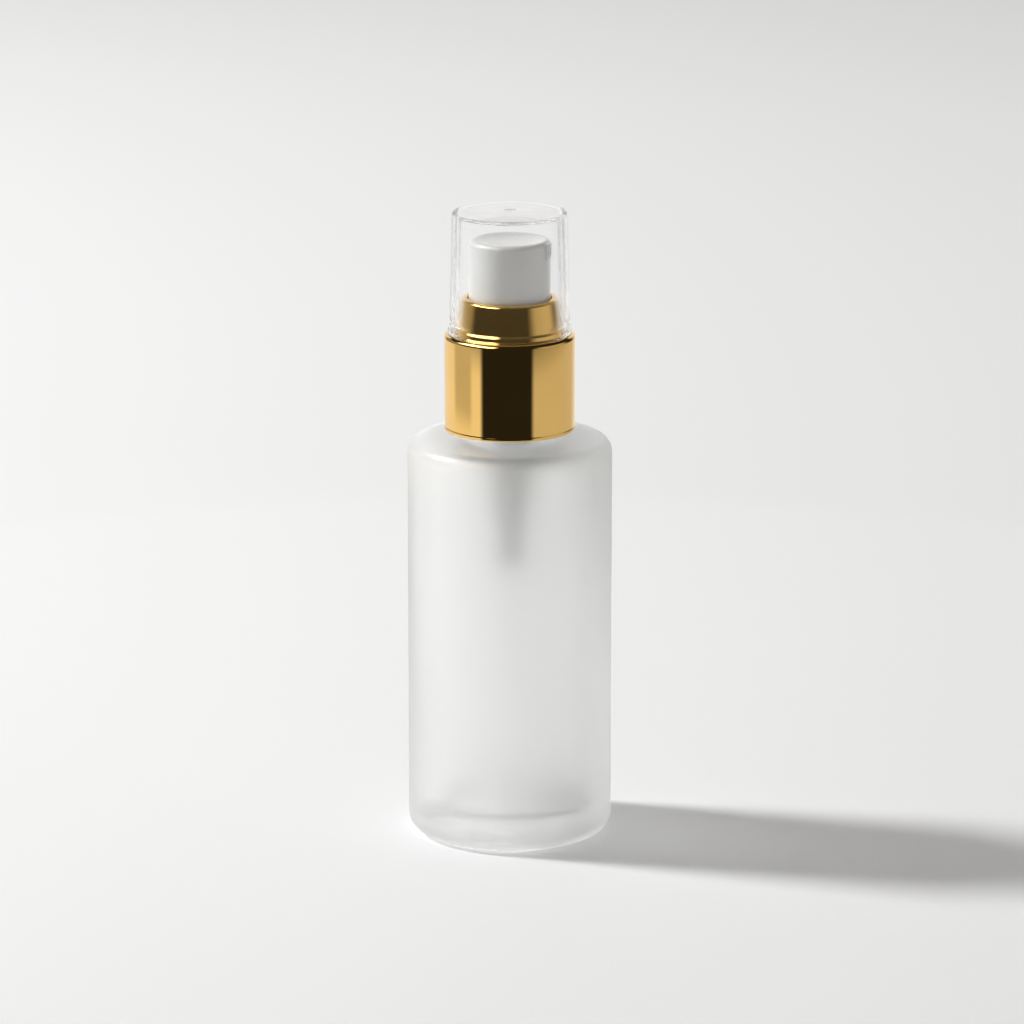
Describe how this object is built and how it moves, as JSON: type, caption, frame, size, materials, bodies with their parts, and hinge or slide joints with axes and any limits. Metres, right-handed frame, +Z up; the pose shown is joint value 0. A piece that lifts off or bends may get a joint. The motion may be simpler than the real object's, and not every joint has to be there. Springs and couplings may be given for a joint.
{
  "type": "pump oil bottle",
  "caption": "Frosted glass bottle with a gold screw collar, a white press-down pump head with a side nozzle, and a clear push-on overcap.",
  "frame": {"origin": "centre of the bottle's base, on the surface it stands on", "axes": "+Z up the axis of the bottle and the pump, +X the way the nozzle points"},
  "size_m": [0.037, 0.037, 0.1151],
  "materials": {
    "frosted_glass": "acid-frosted outside, glossy inside",
    "gold_aluminium": "polished and gold anodised",
    "white_plastic": "glossy white",
    "clear_plastic": "clear and polished",
    "natural_plastic": "milky, unpigmented",
    "soft_plastic": "soft and smooth",
    "spring_steel": "bright drawn stainless steel",
    "gasket_foam": "foamed, matt"
  },
  "bodies": {
    "bottle_body": {"bottle": "frosted_glass"},
    "pump_body": {"pump_housing": "natural_plastic", "housing_cap": "white_plastic", "neck_gasket": "gasket_foam", "dip_tube": "natural_plastic", "return_spring": "spring_steel"},
    "collar_body": {"closure": "white_plastic", "collar_shell": "gold_aluminium"},
    "overcap_body": {"overcap": "clear_plastic"},
    "piston_body": {"piston": "soft_plastic"},
    "head_body": {"actuator": "white_plastic", "nozzle_insert": "white_plastic", "stem": "natural_plastic", "piston_rod": "natural_plastic"},
    "ball_body": {"inlet_ball": "spring_steel"}
  },
  "joints": [
    {"name": "thread_rise", "type": "slide", "parent": "bottle_body", "child": "pump_body", "axis": [0, 0, 1], "range_m": [0, 0.00397]},
    {"name": "closure_turn", "type": "hinge", "parent": "pump_body", "child": "collar_body", "pos_m": [0, 0, 0.08], "axis": [0, 0, 1], "range_deg": [0, 450]},
    {"name": "overcap_lift", "type": "slide", "parent": "collar_body", "child": "overcap_body", "axis": [0, 0, 1], "range_m": [0, 0.045]},
    {"name": "pump_press", "type": "slide", "parent": "pump_body", "child": "piston_body", "axis": [0, 0, 1], "range_m": [-0.005, 0], "stiffness_N_per_m": 1200, "springref_m": 0.003, "deforming": ["return_spring"]},
    {"name": "head_spin", "type": "hinge", "parent": "piston_body", "child": "head_body", "pos_m": [0, 0, 0.1], "axis": [0, 0, 1], "continuous": true},
    {"name": "ball_lift", "type": "slide", "parent": "pump_body", "child": "ball_body", "axis": [0, 0, 1], "range_m": [0, 0.001]}
  ],
  "couplings": [
    {"joint": "closure_turn", "follows": "thread_rise", "rad_per_m": 1979}
  ]
}
